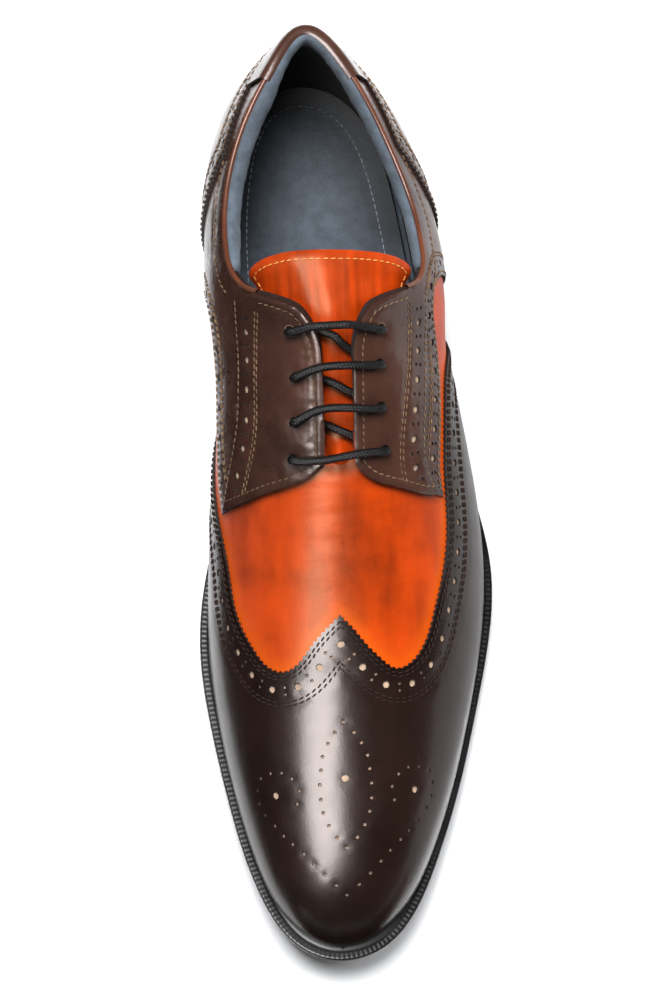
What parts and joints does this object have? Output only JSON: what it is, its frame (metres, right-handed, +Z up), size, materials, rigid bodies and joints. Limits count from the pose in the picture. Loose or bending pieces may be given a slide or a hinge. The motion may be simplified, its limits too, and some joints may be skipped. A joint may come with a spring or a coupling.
{
  "type": "brogue shoe",
  "caption": "Left wing-tip brogue with a peaked dark cap over an orange tan vamp, laced facings, low collar, welted sole and stacked heel.",
  "frame": {"origin": "centre of the bounding box in plan, on the floor plane under the heel and ball", "axes": "X across the shoe, medial side -X and lateral side +X; Y along it, toe -Y and heel +Y; Z up"},
  "size_m": [0.1006, 0.306, 0.1037],
  "materials": {
    "outsole_rubber": "black moulded rubber, satin",
    "welt_leather": "black welt leather with wheel marks",
    "heel_leather": "black stacked heel, waxed",
    "top_piece_rubber": "black rubber, matt",
    "insole_leather": "blue-grey lining leather, matt",
    "vamp_leather": "orange tan calf, hand patina, semi-gloss",
    "tongue_leather": "orange tan calf, semi-gloss",
    "wing_leather": "dark brown calf, polished",
    "quarter_leather": "dark brown calf, polished",
    "facing_leather": "dark brown calf, polished",
    "counter_leather": "dark brown calf, polished",
    "lace_cotton": "black waxed round lace"
  },
  "bodies": {
    "root": {"outsole": "outsole_rubber", "welt": "welt_leather", "heel_stack": "heel_leather", "heel_top_piece": "top_piece_rubber", "insole": "insole_leather", "upper": "vamp_leather", "tongue": "tongue_leather", "wing_cap": "wing_leather", "quarter_medial": "quarter_leather", "quarter_lateral": "quarter_leather", "facing_medial": "facing_leather", "facing_lateral": "facing_leather", "heel_counter": "counter_leather", "heel_tab": "counter_leather", "lace": "lace_cotton"}
  },
  "joints": []
}
